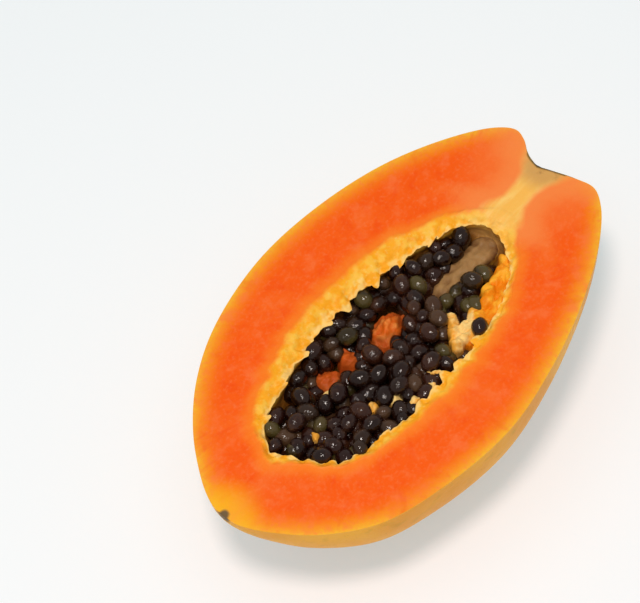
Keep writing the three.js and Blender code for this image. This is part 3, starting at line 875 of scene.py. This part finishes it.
def fleshPaint():
    paint = Paint("papaya flesh and skin")
    spot = FruitSpot(paint)
    inPulp = paint.rise(spot.within + spot.wobble * 1.1, -0.8, 2.8)
    color = paint.mix(inPulp, ripeFlesh(paint, spot), softPulp(paint, spot))
    inCore = paint.rise(spot.core + spot.wobble * 0.06, -0.35, 0.35)
    color = paint.mix(inCore, color, stemCore(paint, spot))
    shelfColor = paint.mix(spot.cell, fruitColors["shelfDark"], fruitColors["shelfLight"])
    color = paint.mix(spot.shelf, color, shelfColor)
    color = paint.mix(spot.mound, color, bareMound(paint, spot))
    color = paint.mix(spot.ridge, color, membrane(paint, spot))
    lumpColor = paint.mix(spot.cell, fruitColors["lumpAmber"], fruitColors["tornPulpAndSheen"])
    color = paint.mix(spot.lump, color, lumpColor)

    # Painted shade: below 3 to 6.5 mm the cavity's walls turn dark red-brown, and darker tan near the stem
    # end's tip, where shade falls under the lip; the forms of pulp take less of it.
    nearTip = paint.fall(spot.toScar + spot.wobble, 34, 39)
    shadedCavityColor = paint.mix(nearTip, fruitColors["shadedWall"], fruitColors["shadedTan"])
    form = spot.mound * 0.7 + spot.ridge * 0.8 + spot.shelf * 0.7 + spot.lump * 0.6
    color = paint.mix(paint.rise(spot.sunk, 3.2, 6.5) * (1 - form) * 0.9, color, shadedCavityColor)
    scarEdge = paint.fall(spot.rind, 0.3, 1.1) * paint.fall(spot.toScar + spot.wobble * 0.3, 8.5, 10)
    color = paint.mix(scarEdge * 0.85, color, fruitColors["scarEdge"])
    blossomSpot = paint.fall(spot.toBlossom + spot.wobble * 0.25, 1.4, 2.6)
    color = paint.mix(blossomSpot, color, fruitColors["blossomSpot"])
    color = paint.mix(spot.skin, color, skinFinish(paint, spot))
    height = spot.mid + spot.fine * 0.35 + spot.patch * paint.rise(spot.within, -1, 1) * 1.2
    return paint.finish(
        {"Subsurface Weight": 0.04, "Subsurface Radius": (0.003, 0.001, 0.0004), "Subsurface Scale": 1.0,
         "Specular IOR Level": 0.12},
        {"Base Color": color, "Roughness": 0.34 + spot.fine * 0.2 + spot.skin * 0.04,
         "Normal": paint.bump(height, 0.45, 0.0007)})


seedColors = {
    "black": tint(32, 8, 5), "dark": tint(54, 25, 13), "brown": tint(72, 48, 30), "olive": tint(76, 64, 30),
    "blotches": tint(84, 54, 34), "clusters": tint(18, 6, 4),
}


def seedPaint():  # wet and dark, with a few brown and olive seeds
    paint = Paint("papaya seed")
    place = paint.place()
    tone = paint.attribute("tone", "Fac")
    blotch = paint.speckle(place, 380, 3)
    wet = paint.speckle(place, 900, 2)
    cluster = paint.rise(paint.speckle(place, 70, 1), 0.45, 0.57)
    color = paint.mix(paint.rise(tone, 0.3, 0.7), seedColors["black"], seedColors["dark"])
    color = paint.mix(paint.rise(tone, 0.72, 0.78), color, seedColors["brown"])
    color = paint.mix(paint.rise(tone, 0.87, 0.9), color, seedColors["olive"])
    color = paint.mix(paint.rise(blotch, 0.48, 0.72) * 0.4, color, seedColors["blotches"])
    color = paint.mix(cluster * 0.7, color, seedColors["clusters"])
    return paint.finish(
        {"Specular IOR Level": 0.42, "Specular Tint": (1.0, 0.88, 0.8, 1.0), "Coat Weight": 0.34,
         "Coat Roughness": 0.05, "Coat IOR": 1.4},
        {"Base Color": color, "Roughness": 0.06 + blotch * 0.08,
         "Normal": paint.bump(blotch + wet * 1.1, 0.5, 0.0006)})


half = makeHalf()
half.data.materials.append(fleshPaint())
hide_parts("papaya_half")
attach(half, "root")
print("half shaped", len(half.data.polygons))

seedShape = makeSeedShape()
seedShape.data.materials.append(seedPaint())
topSeeds = settledSeeds(seeds["topStart"], 0)
underSeeds = [seed for start, drop in seeds["underLayers"] for seed in settledSeeds(start, drop)]
heap = placeSeeds(seedShape, topSeeds + underSeeds, "papaya_seeds", seeds["toneStart"])
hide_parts("seeds")
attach(heap, "root")
stray = placeSeeds(seedShape, [loneSeed], "papaya_lone_seed", loneSeed["toneStart"])
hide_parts("lone_seed")
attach(stray, "root")
bpy.data.objects.remove(seedShape)
print("seeds placed", len(topSeeds), len(underSeeds))

studio = {
    "floorSize": 6.0,
    "floorColor": (0.84, 0.67, 0.61),
    "floorGlow": (0.145, 0.32, 0.375),
    "floorGrey": (0.5, 0.5, 0.5),
    "floorMottle": 0.05,
    "aim": (0, 0, 0.05),
    "worldColor": (1.0, 1.0, 1.0),
    "worldStrength": 0.4,
    "keyPlace": (-0.24, -0.17, 1.12),
    "keySize": 0.2,
    "keyPower": 5.3,
    "fillPlace": (-0.2, -0.05, 1.45),
    "fillSize": 1.7,
    "fillPower": 4.9,
}


def makeFloor():
    deselectAll()
    bpy.ops.mesh.primitive_plane_add(size=studio["floorSize"], location=(0, 0, 0))
    floor = bpy.context.object
    floor.name = "floor"
    paint = Paint("plain pale floor")
    grain = paint.speckle(paint.place(), 3)
    color = paint.mix(grain * studio["floorMottle"], studio["floorColor"], studio["floorGrey"])
    floor.data.materials.append(paint.finish(
        {"Roughness": 0.6, "Specular IOR Level": 0.1, "Emission Color": (*studio["floorGlow"], 1),
         "Emission Strength": 1.0}, {"Base Color": color}))


def areaLight(name, place, size, power, mirrored):
    light = bpy.data.lights.new(name, "AREA")
    light.shape = "DISK"
    light.size = size
    light.energy = power
    lamp = bpy.data.objects.new(name, light)
    scene.collection.objects.link(lamp)
    lamp.location = place
    lamp.visible_glossy = mirrored
    lamp.rotation_euler = (Vector(studio["aim"]) - Vector(place)).to_track_quat("-Z", "Y").to_euler()


makeFloor()
areaLight("key light", studio["keyPlace"], studio["keySize"], studio["keyPower"], True)
areaLight("fill light", studio["fillPlace"], studio["fillSize"], studio["fillPower"], False)
world = bpy.data.worlds.new("soft studio")
world.use_nodes = True
backdrop = world.node_tree.nodes["Background"]
backdrop.inputs["Color"].default_value = (*studio["worldColor"], 1)
backdrop.inputs["Strength"].default_value = studio["worldStrength"]
scene.world = world
scene.view_settings.view_transform = "Standard"
print("studio lit")

# The camera looks down on the cut face from the blossom end's near side.
view = {
    "place": (-0.29947, -0.29847, 0.73174),
    "turn": -41.706,           # degrees
    "tip": 33.057,
    "roll": -10.836,
    "lens": 124.28,
    "sensorWidth": 36,
}
cameraData = bpy.data.cameras.new("camera")
cameraData.lens = view["lens"]
cameraData.sensor_width = view["sensorWidth"]
camera = bpy.data.objects.new("camera", cameraData)
scene.collection.objects.link(camera)
turned = Matrix.Rotation(math.radians(view["turn"]), 4, "Z")
tipped = Matrix.Rotation(math.radians(view["tip"]), 4, "X")
rolled = Matrix.Rotation(math.radians(view["roll"]), 4, "Z")
camera.matrix_world = Matrix.Translation(view["place"]) @ turned @ tipped @ rolled
scene.camera = camera
